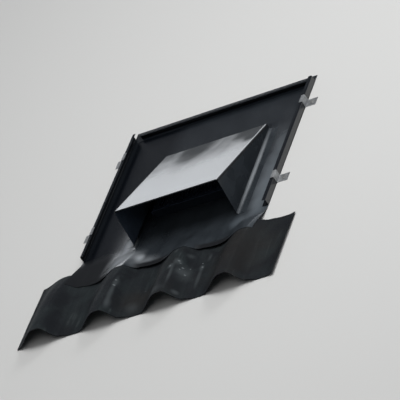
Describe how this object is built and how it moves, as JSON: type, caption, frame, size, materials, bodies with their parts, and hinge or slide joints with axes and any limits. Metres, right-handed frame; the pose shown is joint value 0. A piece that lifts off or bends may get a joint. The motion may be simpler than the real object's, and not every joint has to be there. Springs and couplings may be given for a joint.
{
  "type": "roof ventilation dormer",
  "caption": "Low wedge-shaped sheet-metal vent dormer for a pantiled roof, open at the front, on a flat flashing base with a waved skirt and a dressed lead apron.",
  "frame": {"origin": "middle of the outline, at the underside of the base sheet", "axes": "+X along the eaves to the right as seen from below the roof, +Y up the roof's slope, +Z square off the roof"},
  "size_m": [0.844, 0.9, 0.118],
  "materials": {
    "coated_sheet": "glossy dark coat",
    "guard": "matt black",
    "lead": "matt dark lead with grey and brown patina",
    "zinc_strip": "dull zinc"
  },
  "bodies": {
    "root": {"base_sheet": "coated_sheet", "left_side_channel": "coated_sheet", "right_side_channel": "coated_sheet", "head_bar": "coated_sheet", "hood_top": "coated_sheet", "left_cheek": "coated_sheet", "right_cheek": "coated_sheet", "tail_angle": "coated_sheet", "bird_guard": "guard", "throat_front_tab": "coated_sheet", "throat_back_tab": "coated_sheet", "throat_left_tab": "coated_sheet", "throat_right_tab": "coated_sheet", "front_skirt": "coated_sheet", "lead_apron": "lead", "left_lower_cleat": "zinc_strip", "left_upper_cleat": "zinc_strip", "right_lower_cleat": "zinc_strip", "right_upper_cleat": "zinc_strip"}
  },
  "joints": []
}
